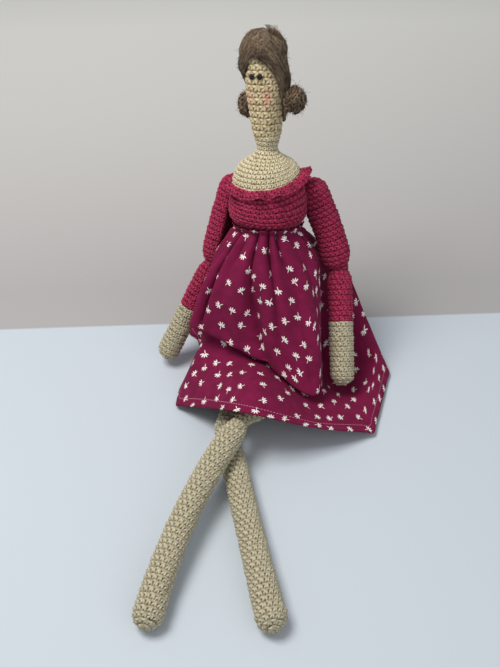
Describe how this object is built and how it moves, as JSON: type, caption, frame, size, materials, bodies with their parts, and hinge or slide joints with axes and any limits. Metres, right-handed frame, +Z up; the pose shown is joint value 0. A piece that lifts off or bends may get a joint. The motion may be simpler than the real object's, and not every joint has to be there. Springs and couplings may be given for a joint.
{
  "type": "crocheted doll",
  "caption": "Stuffed crocheted doll in a sleeved bodice and gathered cotton skirt, sitting with crossed legs; head, arms and legs turn at their sewn seams.",
  "frame": {"origin": "centre of the flat seat that the doll sits on", "axes": "+Z up, the doll faces -Y with its legs stretched forward, +X is the doll's own left"},
  "size_m": [0.1989, 0.3336, 0.2741],
  "materials": {
    "cream_yarn": "single crochet in matt cream cotton yarn",
    "crimson_yarn": "single crochet in matt crimson cotton yarn",
    "skirt_cotton": "plain woven cotton, magenta with small pale sprigs",
    "hair_wool": "loose brown wool with a fuzzy nap",
    "stuffing": "white fibre filling",
    "eye_bead": "glossy black bead"
  },
  "bodies": {
    "torso": {"lower_torso_cover": "cream_yarn", "bodice_cover": "crimson_yarn", "chest_cover": "cream_yarn", "torso_stuffing": "stuffing", "neckline_ruffle": "crimson_yarn", "skirt": "skirt_cotton", "gathering_thread": "crimson_yarn", "neck_seam": "cream_yarn", "shoulder_seam_left": "crimson_yarn", "shoulder_seam_right": "crimson_yarn", "hip_seam_left": "cream_yarn", "hip_seam_right": "cream_yarn"},
    "head": {"head_cover": "cream_yarn", "head_stuffing": "stuffing", "hair": "hair_wool", "bun_left": "hair_wool", "bun_right": "hair_wool", "eye_left": "eye_bead", "eye_right": "eye_bead"},
    "upper_arm_left": {"upper_arm_cover_left": "crimson_yarn", "upper_arm_stuffing_left": "stuffing", "elbow_stitches_left": "crimson_yarn"},
    "forearm_left": {"forearm_cover_left": "crimson_yarn", "hand_cover_left": "cream_yarn", "forearm_stuffing_left": "stuffing"},
    "upper_arm_right": {"upper_arm_cover_right": "crimson_yarn", "upper_arm_stuffing_right": "stuffing", "elbow_stitches_right": "crimson_yarn"},
    "forearm_right": {"forearm_cover_right": "crimson_yarn", "hand_cover_right": "cream_yarn", "forearm_stuffing_right": "stuffing"},
    "thigh_left": {"thigh_cover_left": "cream_yarn", "thigh_stuffing_left": "stuffing", "knee_stitches_left": "cream_yarn"},
    "shin_left": {"shin_cover_left": "cream_yarn", "shin_stuffing_left": "stuffing"},
    "thigh_right": {"thigh_cover_right": "cream_yarn", "thigh_stuffing_right": "stuffing", "knee_stitches_right": "cream_yarn"},
    "shin_right": {"shin_cover_right": "cream_yarn", "shin_stuffing_right": "stuffing"}
  },
  "joints": [
    {"name": "neck_turn", "type": "hinge", "parent": "torso", "child": "head", "pos_m": [-0.002, 0.0285, 0.2], "axis": [-0.0523, 0.292, 0.955], "range_deg": [-32, 88]},
    {"name": "shoulder_left", "type": "hinge", "parent": "torso", "child": "upper_arm_left", "pos_m": [0.03828, 0.02847, 0.15], "axis": [-0.9397, -0.342, 0], "range_deg": [-10, 110]},
    {"name": "elbow_left", "type": "hinge", "parent": "upper_arm_left", "child": "forearm_left", "pos_m": [0.05441, 0.00045, 0.09371], "axis": [-0.7415, 0.4912, -0.457], "range_deg": [-20, 75]},
    {"name": "shoulder_right", "type": "hinge", "parent": "torso", "child": "upper_arm_right", "pos_m": [-0.03051, 0.03872, 0.149], "axis": [-0.766, 0.6428, 0], "range_deg": [-10, 110]},
    {"name": "elbow_right", "type": "hinge", "parent": "upper_arm_right", "child": "forearm_right", "pos_m": [-0.05198, 0.01792, 0.09063], "axis": [-0.0717, 0.9476, -0.3113], "range_deg": [-14, 75]},
    {"name": "hip_left", "type": "hinge", "parent": "torso", "child": "thigh_left", "pos_m": [0.01403, -0.03385, 0.0125], "axis": [-1, 0, 0], "range_deg": [0, 45], "deforming": ["skirt"]},
    {"name": "knee_left", "type": "hinge", "parent": "thigh_left", "child": "shin_left", "pos_m": [-0.00998, -0.09282, 0.04094], "axis": [-0.9253, 0.3791, 0], "range_deg": [0, 45]},
    {"name": "hip_right", "type": "hinge", "parent": "torso", "child": "thigh_right", "pos_m": [-0.01404, -0.03385, 0.0125], "axis": [-1, 0, 0], "range_deg": [-70, 0]},
    {"name": "knee_right", "type": "hinge", "parent": "thigh_right", "child": "shin_right", "pos_m": [-0.03376, -0.09876, 0.00352], "axis": [-0.9988, 0.0486, 0], "range_deg": [-80, 0]}
  ]
}
